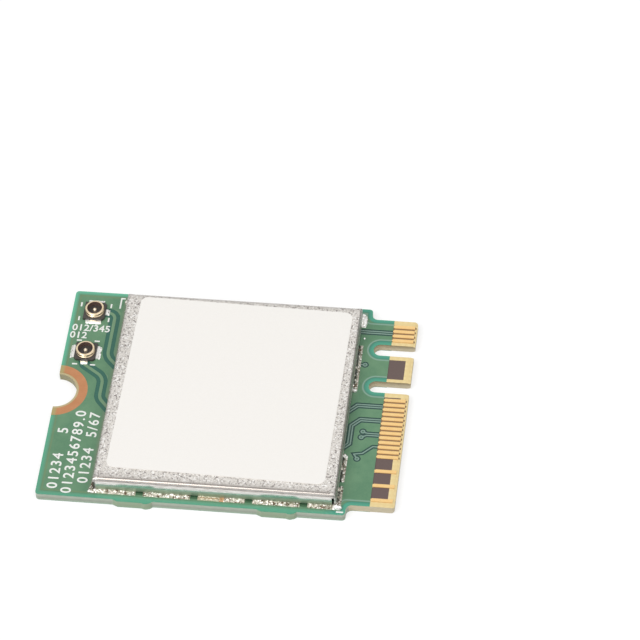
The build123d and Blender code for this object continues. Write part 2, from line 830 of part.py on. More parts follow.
def main():
    os.makedirs("parts", exist_ok=True)
    write("circuit_board", circuit_board())
    write("solder_mask_top", solder_mask_top())
    write("solder_mask_bottom", solder_mask_bottom())
    write("edge_contacts_top", contacts(top_pins, laminate_top))
    write("edge_contacts_bottom", contacts(bottom_pins, 0))
    write("mounting_ring_top", mounting_ring(laminate_top))
    write("mounting_ring_bottom", mounting_ring(0))
    write("shield_lands", group([slab(seam_plan(), laminate_top, foil_thickness)]))
    write("port_lands", port_lands())
    write("shield_can", shield_can())
    write("shield_solder", shield_solder())
    write("blank_label", label())
    for name, frame in port_frames.items():
        write("antenna_port_" + name + "_base", frame * port_base())
        write("antenna_port_" + name + "_shell", frame * port_shell())
        write("antenna_port_" + name + "_pin", frame * port_pin())
    write("port_solder", group([frame * piece for frame in port_frames.values() for piece in port_fillets()]))
    write("radio_chip_body", chip_body(
        radio_chip_place, radio_chip_size, radio_chip_size, radio_chip_height))
    write("radio_chip_leads", chip_leads(radio_set))
    write("front_end_chip_a", chip_body(
        front_end_a_place, front_end_size, front_end_size, front_end_height))
    write("front_end_chip_b", chip_body(
        front_end_b_place, front_end_size, front_end_size, front_end_height))
    write("power_regulator", chip_body(
        regulator_place, front_end_size, front_end_size, regulator_height))
    write("memory_chip", chip_body(memory_place, memory_length, memory_width, memory_height))
    write("small_chip_leads", chip_leads(small_chip_sets))
    write("crystal_base", chip_body(crystal_place, crystal_length, crystal_width, crystal_base_height))
    write("crystal_lid", crystal_lid())
    write("power_inductor_bodies", two_ended_bodies(
        inductor_spots, inductor_length, inductor_width, inductor_height, inductor_cap))
    write("power_inductor_ends", terminal_blocks(inductor_sets, part_seat, inductor_height))
    write("antenna_filter_bodies", two_ended_bodies(
        filter_spots, filter_length, filter_width, filter_height, filter_cap))
    write("antenna_filter_ends", terminal_blocks(filter_sets, part_seat, filter_height))
    write("capacitor_bodies", two_ended_bodies(
        capacitor_spots, small_part_length, small_part_width, small_part_height, small_part_cap))
    write("capacitor_ends", terminal_blocks(capacitor_sets, part_seat, small_part_height))
    write("resistor_bodies", two_ended_bodies(
        resistor_spots, small_part_length, small_part_width, resistor_height, small_part_cap))
    write("resistor_ends", terminal_blocks(resistor_sets, part_seat, resistor_height))
    for name, sets in soldered_groups.items():
        write(name + "_lands", terminal_blocks(sets, laminate_top, foil_thickness))
        write(name + "_solder", terminal_blocks(sets, card_top, joint_thickness))
    write("thermal_pad", thermal_pad())
    write("printed_marks", printed_marks())


main()
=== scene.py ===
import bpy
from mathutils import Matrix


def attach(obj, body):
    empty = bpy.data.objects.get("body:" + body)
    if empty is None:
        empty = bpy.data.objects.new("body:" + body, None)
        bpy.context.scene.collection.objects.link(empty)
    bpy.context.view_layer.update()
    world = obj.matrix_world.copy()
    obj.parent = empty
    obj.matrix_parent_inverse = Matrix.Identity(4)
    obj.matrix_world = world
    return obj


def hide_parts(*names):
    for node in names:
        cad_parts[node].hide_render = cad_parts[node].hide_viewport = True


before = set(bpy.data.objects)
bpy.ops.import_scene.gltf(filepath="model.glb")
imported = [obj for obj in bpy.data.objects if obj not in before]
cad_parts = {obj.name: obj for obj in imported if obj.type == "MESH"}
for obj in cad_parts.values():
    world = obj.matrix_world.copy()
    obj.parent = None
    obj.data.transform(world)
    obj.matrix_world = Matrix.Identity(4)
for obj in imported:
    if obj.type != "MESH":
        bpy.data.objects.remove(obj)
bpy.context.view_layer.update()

import math

import bmesh
import bpy
from mathutils import Matrix, Vector, noise

# Studio: a pale floor under the card, soft light from above and a long lens from the front right.
# The floor and the room show white to the lens and in metal, and the floor keeps the card's shadow.
camera_place = (0.0401017, -0.1862787, 0.2433912)
camera_target = (0.00642058, 0.01012481, 0.0)
camera_roll = math.radians(-3.8743)
camera_lens = 204.699
sensor_width = 36
nearest_seen = 0.01
floor_size = 3.0
floor_gap = 0.00002
floor_grey = 0.42
floor_lift = 0.62
floor_roughness = 0.9
key_place = (-0.26, -0.30, 0.48)
key_power = 1.85
key_size = 0.45
fill_place = (0.32, -0.12, 0.55)
fill_power = 1.0
fill_size = 0.5
room_grey = 0.53
room_rise = {1: 0.0, 2: 0.5, 3: 0.20, 4: 0.92}
white = (1, 1, 1, 1)


def aimed(place, target):
    """The matrix of a lens or a lamp that stands at place and points at target."""
    place, target = Vector(place), Vector(target)
    return Matrix.LocRotScale(place, (target - place).to_track_quat("-Z", "Y"), None)


def put_camera():
    lens = bpy.data.cameras.new("camera")
    lens.lens = camera_lens
    lens.sensor_width = sensor_width
    lens.clip_start = nearest_seen
    camera = bpy.data.objects.new("camera", lens)
    bpy.context.scene.collection.objects.link(camera)
    camera.matrix_world = aimed(camera_place, camera_target) @ Matrix.Rotation(camera_roll, 4, "Z")
    bpy.context.scene.camera = camera


def add_node(tree, kind, inputs=None, **settings):
    node = tree.nodes.new("ShaderNode" + kind)
    for name, value in settings.items():
        setattr(node, name, value)
    for name, value in (inputs or {}).items():
        if isinstance(value, bpy.types.NodeSocket):
            tree.links.new(value, node.inputs[name])
        else:
            node.inputs[name].default_value = value
    return node


def figure(tree, operation, *values):
    """One step of arithmetic, as a Math node's output."""
    node = add_node(tree, "Math", dict(enumerate(values)), operation=operation)
    return node.outputs[0]


def chain(tree, operation, values):
    """The same step over all the values, one after the other."""
    result = values[0]
    for value in values[1:]:
        result = figure(tree, operation, result, value)
    return result


def times(tree, *values):
    return chain(tree, "MULTIPLY", values)


def largest(tree, *values):
    return chain(tree, "MAXIMUM", values)


def seen_directly(tree):
    """1 for the camera's, mirror and glass rays, 0 for the light that lights the card."""
    path = add_node(tree, "LightPath").outputs
    return largest(tree, path["Is Camera Ray"], path["Is Glossy Ray"], path["Is Transmission Ray"])


def put_floor():
    bpy.ops.mesh.primitive_plane_add(size=floor_size)
    floor = bpy.context.object
    floor.name = "studio_floor"
    floor.location.z = -floor_gap
    paper = bpy.data.materials.new("studio_paper")
    paper.use_nodes = True
    tree = paper.node_tree
    shader = tree.nodes["Principled BSDF"]
    shader.inputs["Base Color"].default_value = (floor_grey, floor_grey, floor_grey, 1)
    shader.inputs["Roughness"].default_value = floor_roughness
    shader.inputs["Specular IOR Level"].default_value = 0.0
    shader.inputs["Emission Color"].default_value = white
    tree.links.new(times(tree, seen_directly(tree), floor_lift), shader.inputs["Emission Strength"])
    floor.data.materials.append(paper)


def put_lamp(name, place, power, size):
    lamp = bpy.data.lights.new(name, "AREA")
    lamp.energy = power
    lamp.shape = "DISK"
    lamp.size = size
    stand = bpy.data.objects.new(name, lamp)
    stand.matrix_world = aimed(place, (0, 0, 0))
    bpy.context.scene.collection.objects.link(stand)


def light_room():
    world = bpy.data.worlds.new("studio_room")
    world.use_nodes = True
    bpy.context.scene.world = world
    tree = world.node_tree
    backdrop = tree.nodes["Background"]
    path = add_node(tree, "LightPath").outputs
    way_up = add_node(tree, "TexCoord").outputs["Generated"]
    height = add_node(tree, "SeparateXYZ", {0: way_up}).outputs[2]
    rise = add_node(tree, "MapRange", {0: height, **room_rise}, interpolation_type="SMOOTHSTEP")
    metal_sees = times(tree, path["Is Glossy Ray"], rise.outputs[0])
    lit = times(tree, figure(tree, "SUBTRACT", 1.0, seen_directly(tree)), room_grey)
    shown = largest(tree, path["Is Camera Ray"], path["Is Transmission Ray"])
    tree.links.new(chain(tree, "ADD", (metal_sees, lit, shown)), backdrop.inputs["Strength"])
    backdrop.inputs["Color"].default_value = white


bpy.context.scene.view_settings.view_transform = "Standard"
put_camera()
put_floor()
put_lamp("soft_key", key_place, key_power, key_size)
put_lamp("soft_fill", fill_place, fill_power, fill_size)
light_room()


# Circuit board: glass cloth pressed with resin and routed to its outline, so that its layers show at the
# sides. It is bare on the card edge, and dark where its copper was etched away. Places and sizes on the
# card are in mm, and a patch is its left, right, front and back edge.
board_thickness = 0.8
board_middle_z = board_thickness / 2
board_edge_y = 11.0
tongue_edge_y = 9.925
shoulder_x = 11.0
tongue_side_x = 11.2
screw_edge_x = -15.0
notch_radius = 1.75
notch_patch = (-14.98, -13.0, -1.9, 1.9)
notch_end_x = -12.0
slot_centers_y = (6.625, 2.625)
slots_middle_y = sum(slot_centers_y) / 2
slots_reach_y = 2.7
slot_painted_shade_z = (0.30, 0.76)
slot_half_width = 0.6
slot_end_x = 12.1
slot_length = 4.0
tab_side_y = -11.03
etched_patches = [(12.9, 14.36, 3.55, 5.62), (12.9, 14.35, 1.425, 1.57),
                  (12.9, 14.38, -6.08, -4.92), (12.9, 14.38, -7.58, -6.42), (12.9, 14.38, -9.08, -7.92)]
contact_rows = [(12.9, 14.92, 7.58, 9.42), (12.9, 14.92, -4.92, 1.42)]
contact_pitch = 0.5
contact_end_x = 14.8
plating_stub = 0.10
yarn = {"Scale": 0.62, "Distortion": 1.2, "Detail Scale": 3.0}
bare_laminate = (0.66, 0.60, 0.36)
cloth_shades = [(0.79, 0.62, 0.30), (0.88, 0.73, 0.39)]
etched_laminate = (0.127, 0.087, 0.078)
gap_shade_and_stub_brown = (0.28, 0.165, 0.08)
laminate_at_notch = (0.50, 0.42, 0.23)
layer_shades = [(0.05, (0.62, 0.76, 0.60)), (0.22, (0.42, 0.53, 0.41)), (0.45, (0.46, 0.50, 0.42)),
                (0.70, (0.62, 0.68, 0.57)), (0.95, (0.50, 0.64, 0.50))]
side_fibre = (0.34, 0.38, 0.31)
tongue_side_shades = [(0.58, 0.49, 0.32), (0.88, 0.80, 0.60)]
slot_wall_painted_shade = (0.27, 0.19, 0.08)
notch_side_shades = [(0.30, 0.27, 0.16), (0.46, 0.43, 0.27)]
tab_side_shade = (0.34, 0.46, 0.29)


def new_finish(name, colour, roughness, metallic=0.0):
    finish = bpy.data.materials.new(name)
    finish.use_nodes = True
    shader = finish.node_tree.nodes["Principled BSDF"]
    shader.inputs["Base Color"].default_value = (*colour, 1)
    shader.inputs["Roughness"].default_value = roughness
    shader.inputs["Metallic"].default_value = metallic
    return finish, finish.node_tree, shader


def place_in_mm(tree):
    """The piece's own coordinates in millimetres: the vector and its X, Y and Z."""
    coordinates = add_node(tree, "TexCoord").outputs["Object"]
    scaled = add_node(tree, "VectorMath", {0: coordinates, "Scale": 1000.0}, operation="SCALE").outputs[0]
    return scaled, *add_node(tree, "SeparateXYZ", {0: scaled}).outputs


def vector_figure(tree, operation, first, second):
    """One step of vector arithmetic, as its node's outputs."""
    return add_node(tree, "VectorMath", {0: first, 1: second}, operation=operation).outputs


def squeezed(tree, place, shares):
    """The place with each axis times its share, which makes a pattern on it finer along the larger ones."""
    return vector_figure(tree, "MULTIPLY", place, shares)[0]


def grain(tree, place, scale, detail=2.0, roughness=0.5):
    inputs = {"Vector": place, "Scale": scale, "Detail": detail, "Roughness": roughness}
    return add_node(tree, "TexNoise", inputs).outputs["Fac"]


def weave(tree, place, direction):
    return add_node(tree, "TexWave", {"Vector": place, **yarn}, bands_direction=direction).outputs[1]


def ramp(tree, value, span, results=(0.0, 1.0)):
    """Goes from one result to the other while the value crosses the span, and stays level outside it."""
    inputs = {0: value, 1: span[0], 2: span[1], 3: results[0], 4: results[1]}
    return add_node(tree, "MapRange", inputs).outputs[0]


def above(tree, value, limit):
    return figure(tree, "GREATER_THAN", value, limit)


def below(tree, value, limit):
    return figure(tree, "LESS_THAN", value, limit)


def away_from(tree, value, middle):
    return figure(tree, "ABSOLUTE", figure(tree, "SUBTRACT", value, middle))


def inside_patch(tree, x, y, patch):
    left, right, front, back = patch
    across = figure(tree, "COMPARE", x, (left + right) / 2, (right - left) / 2)
    along = figure(tree, "COMPARE", y, (front + back) / 2, (back - front) / 2)
    return times(tree, across, along)


def uneven(tree, pattern, low, high):
    """A value that follows a grain from low to high."""
    return ramp(tree, pattern, (0.2, 0.8), (low, high))


def blend_colour(tree, share, first, second):
    node = add_node(tree, "Mix", data_type="RGBA")
    for index, value in ((0, share), (6, first), (7, second)):
        if isinstance(value, bpy.types.NodeSocket):
            tree.links.new(value, node.inputs[index])
        else:
            node.inputs[index].default_value = value if index == 0 else (*value, 1)
    return node.outputs[2]


def coat(tree, shader, colour, roughness=None):
    tree.links.new(colour, shader.inputs["Base Color"])
    if roughness is not None:
        tree.links.new(roughness, shader.inputs["Roughness"])


def dent(tree, shader, height, depth_mm, strength=1.0):
    bump = add_node(tree, "Bump", {"Height": height, "Distance": depth_mm / 1000, "Strength": strength})
    tree.links.new(bump.outputs[0], shader.inputs["Normal"])


def dress(finish, *node_names):
    for name in node_names:
        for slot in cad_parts[name].material_slots:
            slot.material = finish


laminate, tree, shader = new_finish("glass_laminate", bare_laminate, roughness=0.55)
place, x, y, z = place_in_mm(tree)
cloth = times(tree, weave(tree, place, "X"), weave(tree, place, "Y"))
mottle = grain(tree, place, scale=0.9, detail=3.0)
top_colour = blend_colour(tree, times(tree, cloth, mottle), *cloth_shades)
# Brown laminate between the contacts, which is partly painted shade in the gaps, and on the plating stubs
# past the contacts' ends.
from_stub = figure(tree, "PINGPONG", figure(tree, "ADD", y, contact_pitch / 2), contact_pitch / 2)
between = largest(tree, below(tree, from_stub, plating_stub), below(tree, x, contact_end_x))
for row in contact_rows:
    tinted = times(tree, inside_patch(tree, x, y, row), between)
    top_colour = blend_colour(tree, tinted, top_colour, gap_shade_and_stub_brown)
for patch in etched_patches:
    top_colour = blend_colour(tree, inside_patch(tree, x, y, patch), top_colour, etched_laminate)
top_colour = blend_colour(tree, below(tree, x, notch_end_x), top_colour, laminate_at_notch)

fibres = grain(tree, squeezed(tree, place, (1.2, 1.2, 11.0)), scale=1.8, detail=4.0)
layers = add_node(tree, "ValToRGB", {0: figure(tree, "DIVIDE", z, board_thickness)})
for _ in layer_shades[2:]:
    layers.color_ramp.elements.new(0.5)
for element, (level, shade) in zip(layers.color_ramp.elements, layer_shades):
    element.position = level
    element.color = (*shade, 1)
side_colour = blend_colour(tree, ramp(tree, fibres, (0.3, 0.7), (0.0, 0.55)), layers.outputs[0], side_fibre)
tongue_side = blend_colour(tree, fibres, *tongue_side_shades)
# The slots' walls are painted dark brown towards their top: painted shade inside the narrow slots.
in_slots = below(tree, away_from(tree, y, slots_middle_y), slots_reach_y)
slot_painted_shade_share = times(tree, in_slots, ramp(tree, z, slot_painted_shade_z, (0.0, 0.85)))
tongue_side = blend_colour(tree, slot_painted_shade_share, tongue_side, slot_wall_painted_shade)
side_colour = blend_colour(tree, above(tree, x, tongue_side_x), side_colour, tongue_side)
notch_side = blend_colour(tree, fibres, *notch_side_shades)
side_colour = blend_colour(tree, inside_patch(tree, x, y, notch_patch), side_colour, notch_side)
on_tab = times(tree, below(tree, y, tab_side_y), 0.7)
side_colour = blend_colour(tree, on_tab, side_colour, tab_side_shade)

normal = add_node(tree, "NewGeometry").outputs["Normal"]
upright = figure(tree, "ABSOLUTE", add_node(tree, "SeparateXYZ", {0: normal}).outputs[2])
coat(tree, shader, blend_colour(tree, above(tree, upright, 0.3), side_colour, top_colour))
dent(tree, shader, figure(tree, "ADD", cloth, fibres), depth_mm=0.012)
dress(laminate, "circuit_board")


# Solder mask: a green lacquer, cured over both faces. Over copper it looks grey-green, and over bare
# laminate, along the edges and beside the feed lines, the light board makes it teal. The feed lines and
# a thin line along the copper's edge look olive, where it is thinnest. Flux has stained it beside the
# can's left wall. Painted on it are a highlight on the traces and along the copper's edge near the
# tongue, and shade in the narrow etched gaps and between the lands at the can's front foot.
copper_rise = 0.391
tongue_fade_x = (9.0, 10.0)
left_fade_x = (-10.0, -11.0)
teal_fade_y = (-9.0, 9.0)
inner_band = (0.10, 0.40)
slot_band_fade = (0.05, 0.42)
rim_middle = 0.50
rim_fade = (0.10, 0.03)
band_end = 0.48
feed_reach = 0.42
feeds = [[(-13.0, 8.74), (-11.2, 8.74), (-11.2, 3.99), (-9.8, 2.59)],
         [(-13.1, 4.24), (-13.1, 2.99), (-11.2, 1.69), (-11.2, -0.55), (-9.8, -2.1)]]
pair_reach = 0.28
trace_pairs = [[(12.95, 8.5), (9.8, 8.5)], [(12.95, 0.5), (10.8, 0.5), (9.8, -0.5)],
               [(12.95, -2.5), (11.9, -2.5)],
               [(12.95, -1.0), (11.2, -1.0), (10.52, -1.68), (10.52, -3.6), (9.8, -4.32)]]
trace_reach = 0.17
single_traces = [[(11.9, -2.39), (11.55, -2.24)], [(11.9, -2.61), (11.47, -2.84)],
                 [(10.95, 4.91), (10.53, 4.91)],
                 [(12.95, -3.75), (12.55, -3.75), (11.75, -4.52), (11.05, -4.66), (11.36, -5.12)]]
via_reach = 0.26
via_hollow_radius = (0.12, 0.06)
via_pads = [(11.55, -2.24), (11.47, -2.84), (11.36, -5.12), (10.95, 4.91)]
front_foot_shadow_y = (-10.52, -10.36)
front_foot_shadow_end_y = (-9.95, -10.05)
front_foot_shadow_half = 9.5
left_stain_x = (-10.74, -10.50)
left_stain_end_x = -10.0
lacquer_green = (0.12, 0.25, 0.14)
pour_shades = [(0.088, 0.215, 0.118), (0.125, 0.262, 0.145)]
pour_speck = (0.17, 0.31, 0.18)
feed_shade = (0.19, 0.31, 0.18)
trace_grey_and_highlight = (0.205, 0.32, 0.265)
via_shade = (0.07, 0.16, 0.11)
olive_rim_and_rim_highlight = [(0.17, 0.23, 0.11), (0.27, 0.42, 0.35)]
teal_shades = [(0.085, 0.335, 0.21), (0.115, 0.45, 0.29)]
inner_band_shade = (0.115, 0.275, 0.165)
slot_band_shades = [(0.075, 0.355, 0.235), (0.055, 0.235, 0.175)]
gap_painted_shades = [(0.018, 0.100, 0.072), (0.035, 0.150, 0.105)]
tongue_gap_painted_shade = (0.016, 0.062, 0.050)
front_foot_painted_shadow = (0.035, 0.095, 0.045)
left_stain_shade = (0.19, 0.25, 0.165)


def smallest(tree, *values):
    return chain(tree, "MINIMUM", values)


def distance_to_line(tree, flat_place, start, end):
    """Distance in mm from a point of the board's face to a straight line between two points of it."""
    run = Vector((end[0] - start[0], end[1] - start[1], 0.0))
    from_start = vector_figure(tree, "SUBTRACT", flat_place, (*start, 0.0))[0]
    along = vector_figure(tree, "DOT_PRODUCT", from_start, run)["Value"]
    share = add_node(tree, "Math", {0: along, 1: run.length_squared}, operation="DIVIDE", use_clamp=True)
    nearest = add_node(tree, "VectorMath", {0: run, "Scale": share.outputs[0]}, operation="SCALE").outputs[0]
    return vector_figure(tree, "DISTANCE", from_start, nearest)["Value"]


def distance_to_points(tree, flat_place, points):
    return smallest(tree, *[vector_figure(tree, "DISTANCE", flat_place, (*point, 0.0))["Value"]
                            for point in points])


def distance_to_routes(tree, flat_place, routes):
    runs = [ends for route in routes for ends in zip(route, route[1:])]
    return smallest(tree, *[distance_to_line(tree, flat_place, *ends) for ends in runs])


def distance_to_edge(tree, flat_place, x, y):
    """How far a point of the board's face lies inside the nearest edge, in mm."""
    size_y = figure(tree, "ABSOLUTE", y)
    past_shoulder = smallest(tree, figure(tree, "SUBTRACT", x, shoulder_x), 0.0)
    over_tongue = smallest(tree, figure(tree, "SUBTRACT", size_y, tongue_edge_y), 0.0)
    squares = [figure(tree, "POWER", reach, 2.0) for reach in (past_shoulder, over_tongue)]
    from_step = figure(tree, "SQRT", figure(tree, "ADD", *squares))
    from_notch = distance_to_points(tree, flat_place, [(screw_edge_x, 0.0)])
    distances = [figure(tree, "SUBTRACT", board_edge_y, size_y), from_step,
                 figure(tree, "SUBTRACT", x, screw_edge_x),
                 figure(tree, "SUBTRACT", from_notch, notch_radius)]
    for center in slot_centers_y:
        slot_ends = (slot_end_x, center), (slot_end_x + slot_length, center)
        from_slot = distance_to_line(tree, flat_place, *slot_ends)
        distances.append(figure(tree, "SUBTRACT", from_slot, slot_half_width))
    return smallest(tree, *distances)


mask, tree, shader = new_finish("green_lacquer", lacquer_green, roughness=0.34)
place, x, y, z = place_in_mm(tree)
flat_place = add_node(tree, "CombineXYZ", {0: x, 1: y}).outputs[0]
on_top = above(tree, z, board_middle_z)
over_copper = above(tree, away_from(tree, z, board_middle_z), copper_rise)
edge_distance = distance_to_edge(tree, flat_place, x, y)
near_tongue = ramp(tree, x, tongue_fade_x)
near_left = ramp(tree, x, left_fade_x, (0.0, 0.5))
cloudy = grain(tree, place, scale=0.7, detail=3.0)
fine = grain(tree, place, scale=6.0, detail=3.0, roughness=0.6)

pour_colour = blend_colour(tree, ramp(tree, cloudy, (0.35, 0.65)), *pour_shades)
pour_colour = blend_colour(tree, ramp(tree, fine, (0.3, 0.75), (0.0, 0.22)), pour_colour, pour_speck)
on_feed = below(tree, distance_to_routes(tree, flat_place, feeds), feed_reach)
pour_colour = blend_colour(tree, times(tree, on_feed, on_top, 0.65), pour_colour, feed_shade)
# Over the traces and round their vias the lacquer is painted a lighter grey-green. This is partly the
# lacquer's grey over copper and partly a painted highlight on the traces' relief.
near_pair = below(tree, distance_to_routes(tree, flat_place, trace_pairs), pair_reach)
near_single = below(tree, distance_to_routes(tree, flat_place, single_traces), trace_reach)
from_via = distance_to_points(tree, flat_place, via_pads)
near_trace = largest(tree, below(tree, from_via, via_reach), near_pair, near_single)
pour_colour = blend_colour(tree, times(tree, near_trace, on_top), pour_colour, trace_grey_and_highlight)
via_hollow = ramp(tree, from_via, via_hollow_radius)
pour_colour = blend_colour(tree, times(tree, via_hollow, on_top), pour_colour, via_shade)
# A thin line along the copper's edge. On the left it is olive, where the lacquer is thinnest. Near the tongue
# it is pale, a painted highlight where the edge's step catches light.
rim = ramp(tree, away_from(tree, edge_distance, rim_middle), rim_fade)
rim_share = times(tree, rim, figure(tree, "ADD", times(tree, near_tongue, 0.7), near_left))
pour_colour = blend_colour(tree, rim_share, pour_colour, blend_colour(tree, near_tongue, *olive_rim_and_rim_highlight))
# Between the lands along the can's front foot the lacquer is painted dark: painted shadow under the openings
# in the wall's foot.
front_foot_shadow = times(tree, ramp(tree, y, front_foot_shadow_y), ramp(tree, y, front_foot_shadow_end_y),
                    figure(tree, "COMPARE", x, 0.0, front_foot_shadow_half), on_top)
pour_colour = blend_colour(tree, front_foot_shadow, pour_colour, front_foot_painted_shadow)
left_stain = times(tree, ramp(tree, x, left_stain_x), below(tree, x, left_stain_end_x), on_top, 0.6)
pour_colour = blend_colour(tree, left_stain, pour_colour, left_stain_shade)

band_colour = blend_colour(tree, ramp(tree, y, teal_fade_y), *teal_shades)
band_colour = blend_colour(tree, ramp(tree, edge_distance, inner_band), band_colour, inner_band_shade)
slot_band = blend_colour(tree, ramp(tree, edge_distance, slot_band_fade), *slot_band_shades)
band_colour = blend_colour(tree, near_tongue, band_colour, slot_band)
# In the narrow etched gaps, the lacquer over bare laminate is painted dark, and darker still near the tongue:
# painted shade in these grooves.
gap_painted_colour = blend_colour(tree, fine, *gap_painted_shades)
gap_painted_colour = blend_colour(tree, near_tongue, gap_painted_colour, tongue_gap_painted_shade)
low_colour = blend_colour(tree, below(tree, edge_distance, band_end), gap_painted_colour, band_colour)
mask_colour = blend_colour(tree, over_copper, low_colour, pour_colour)
coat(tree, shader, mask_colour, uneven(tree, fine, 0.28, 0.42))
dent(tree, shader, fine, depth_mm=0.006, strength=0.6)
dress(mask, "solder_mask_top", "solder_mask_bottom")


# Card edge contacts: copper bars plated with hard gold, rubbed lengthwise by the socket's springs.
# On the top face, the front edge of each bar is painted darker: painted shade beside the gap.
plain_gold = (0.93, 0.62, 0.26)
gold_shades = [(0.97, 0.60, 0.235), (1.0, 0.735, 0.345)]
gold_edge_painted_shade = (0.52, 0.26, 0.09)
gold_edge_shade_fade = (0.15, 0.09)
gold, tree, shader = new_finish("hard_gold", plain_gold, roughness=0.34, metallic=0.85)
place, x, y, z = place_in_mm(tree)
rubbed = grain(tree, squeezed(tree, place, (1.0, 14.0, 1.0)), scale=3.0, detail=3.0)
gold_colour = blend_colour(tree, grain(tree, place, scale=1.6, detail=2.0), *gold_shades)
# Painted shade along the front edge of each bar on the top face.
across_pitch = figure(tree, "FLOORED_MODULO", y, contact_pitch)
shaded_front_side = times(tree, ramp(tree, across_pitch, gold_edge_shade_fade), above(tree, z, board_middle_z), 0.5)
gold_colour = blend_colour(tree, shaded_front_side, gold_colour, gold_edge_painted_shade)
coat(tree, shader, gold_colour, uneven(tree, rubbed, 0.22, 0.45))
dent(tree, shader, rubbed, depth_mm=0.004, strength=0.6)
dress(gold, "edge_contacts_top", "edge_contacts_bottom")


# Ring round the screw notch: bare copper with a dull protective film, where the screw's head clamps.
# It stops a little short of the board's edge.
plain_copper = (0.78, 0.36, 0.18)
copper_shades = [(0.50, 0.22, 0.095), (0.62, 0.30, 0.15)]
ring_end_shade = (0.45, 0.37, 0.17)
ring_end_x = (-14.55, -14.75)
copper, tree, shader = new_finish("dull_copper", plain_copper, roughness=0.5, metallic=0.55)
place, x, y, z = place_in_mm(tree)
fine = grain(tree, place, scale=12.0, detail=2.0)
ring_colour = blend_colour(tree, grain(tree, place, scale=1.3, detail=3.0), *copper_shades)
ring_colour = blend_colour(tree, ramp(tree, x, ring_end_x), ring_colour, ring_end_shade)
coat(tree, shader, ring_colour, uneven(tree, fine, 0.42, 0.62))
dent(tree, shader, fine, depth_mm=0.004, strength=0.5)
dress(copper, "mounting_ring_top", "mounting_ring_bottom")


# Antenna ports: a gold-plated ring with two soldered ground tabs, pressed into a black moulded base,
# with a gold pin in the middle whose tail is soldered to the feed line.
port_centers = [(-13.0, 8.74), (-13.1, 4.24)]
port_bore_reach = 0.652
port_pin_radius = 0.25
port_tab_top = 0.925
plain_moulding = (0.020, 0.016, 0.013)
moulding_shades = [(0.028, 0.025, 0.023), (0.085, 0.075, 0.068)]
plain_port_gold = (0.90, 0.70, 0.42)
port_ring_shades = [(0.80, 0.60, 0.36), (0.97, 0.84, 0.62)]
port_tab_shades = [(0.70, 0.68, 0.63), (0.95, 0.94, 0.91)]
port_pin_shades = [(0.92, 0.74, 0.50), (1.0, 0.88, 0.68)]
bore_painted_shades = [(0.20, 0.125, 0.105), (0.30, 0.19, 0.155)]
port_plastic, tree, shader = new_finish("black_moulding", plain_moulding, roughness=0.42)
place, x, y, z = place_in_mm(tree)
fine = grain(tree, place, scale=16.0, detail=3.0)
coat(tree, shader, blend_colour(tree, fine, *moulding_shades), uneven(tree, fine, 0.35, 0.55))
dent(tree, shader, fine, depth_mm=0.004)
dress(port_plastic, "antenna_port_a_base", "antenna_port_b_base")

port_gold, tree, shader = new_finish("port_gold", plain_port_gold, roughness=0.22, metallic=1.0)
place, x, y, z = place_in_mm(tree)
fine = grain(tree, place, scale=6.0, detail=3.0)
flat_place = add_node(tree, "CombineXYZ", {0: x, 1: y}).outputs[0]
from_port = distance_to_points(tree, flat_place, port_centers)
in_bore = below(tree, from_port, port_bore_reach)
port_colour = blend_colour(tree, fine, *port_ring_shades)
# Inside the ring the gold is painted dark brown: painted shade in the bore.
port_colour = blend_colour(tree, in_bore, port_colour, blend_colour(tree, fine, *bore_painted_shades))
pin_colour = blend_colour(tree, fine, *port_pin_shades)
port_colour = blend_colour(tree, below(tree, from_port, port_pin_radius), port_colour, pin_colour)
tab_colour = blend_colour(tree, fine, *port_tab_shades)
port_colour = blend_colour(tree, below(tree, z, port_tab_top), port_colour, tab_colour)
coat(tree, shader, port_colour, uneven(tree, fine, 0.22, 0.36))
bare_metal = figure(tree, "SUBTRACT", 1.0, times(tree, in_bore, 0.5))
tree.links.new(bare_metal, shader.inputs["Metallic"])
dent(tree, shader, fine, depth_mm=0.003, strength=0.4)
dress(port_gold, "antenna_port_a_shell", "antenna_port_b_shell", "antenna_port_a_pin", "antenna_port_b_pin")


# Shield can: thin steel with a matt tin plating, folded down on four sides. The top plate shows the
# plating's coarse crystals. The folded walls are stretched smooth and shine, and lean out a little at
# the foot. Painted on it are shade along the plate's front and back edges, on the folds, the side walls
# and the left slit, two dark reflection lines on the front fold, a highlight on the back fold, and a
# green reflection of the board towards the walls' foot.
can_x = 10.2
can_front_y = -10.15
can_back_y = 10.05
can_middle_y = (can_front_y + can_back_y) / 2
bend_radius = 0.4
sheet_thickness = 0.1
fold_steps = 12
side_bend_start = 1.85
left_plate_z = 2.08
right_plate_z = 2.15
plate_z = 2.236
side_fold_x = 9.75
side_wall_x = 9.95
bend_line_z = 1.965
bend_line_half = 0.04
fold_shade_z = (2.04, 2.12)
fold_shade_x = (-10.0, 8.0)
fold_start_reach = (9.66, 9.77)
fold_end_reach = (10.0, 9.84)
plate_shade_reach = (9.25, 9.72)
back_fold_y = 9.6
back_fold_z = (1.80, 1.95)
side_fold_z = (1.82, 1.98)
foot_reflection_z = (1.48, 1.22)
left_slit_x = -10.07
left_slit_y = -10.12
front_left_corner_x = -9.9
front_left_shift = 0.16
wall_lean = math.tan(math.radians(5.6))
crease_angle = math.radians(40)
plain_tin = (0.68, 0.66, 0.62)
crystal_shades = [(0.49, 0.46, 0.43), (0.77, 0.735, 0.69)]
pit_shade = (0.32, 0.29, 0.275)
shine_shade = (0.93, 0.91, 0.88)
plate_edge_painted_shade = (0.46, 0.43, 0.40)
fold_start_painted_shade = (0.40, 0.37, 0.34)
low_fold_start_painted_shade = (0.30, 0.275, 0.255)
wall_shades = [(0.60, 0.58, 0.55), (0.84, 0.83, 0.80)]
fold_painted_shades = [(0.34, 0.305, 0.275), (0.46, 0.42, 0.385)]
back_fold_painted_highlight = (0.92, 0.89, 0.86)
